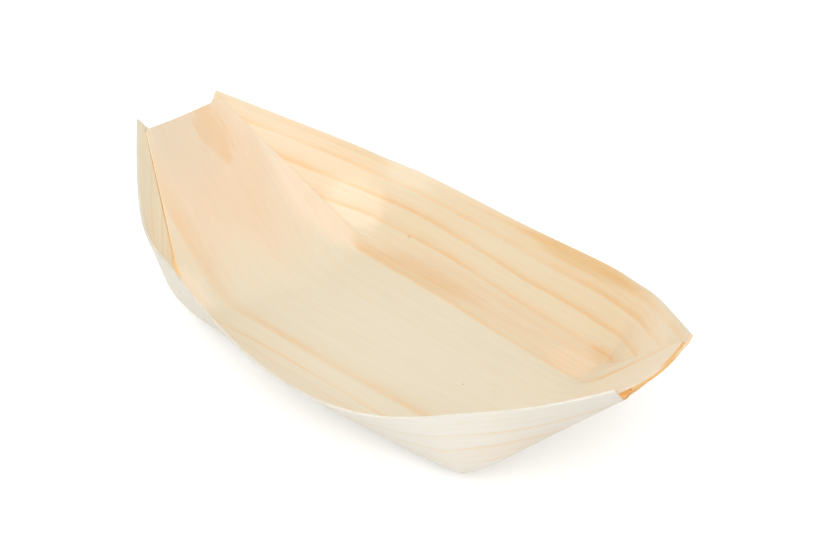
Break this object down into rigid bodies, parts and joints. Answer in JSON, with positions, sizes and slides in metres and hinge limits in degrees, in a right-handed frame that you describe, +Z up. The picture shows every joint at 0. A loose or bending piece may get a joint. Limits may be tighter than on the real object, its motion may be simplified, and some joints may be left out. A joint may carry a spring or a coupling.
{
  "type": "wooden snack boat",
  "caption": "Open boat-shaped snack tray folded from one slit sheet of pine veneer, with leaning side walls, raised end ramps and flaps glued behind them.",
  "frame": {"origin": "on the flat underside, below the middle of the floor", "axes": "+X along the boat to the right end in the picture, +Y to the far wall, +Z up"},
  "size_m": [0.1409, 0.0782, 0.032],
  "materials": {
    "pine_veneer": "bare sliced veneer, matt",
    "glue": "dried wood glue"
  },
  "bodies": {
    "root": {"veneer_sheet": "pine_veneer", "left_ramp_glue": "glue", "left_flap_glue": "glue", "right_ramp_glue": "glue", "right_flap_glue": "glue"}
  },
  "joints": []
}
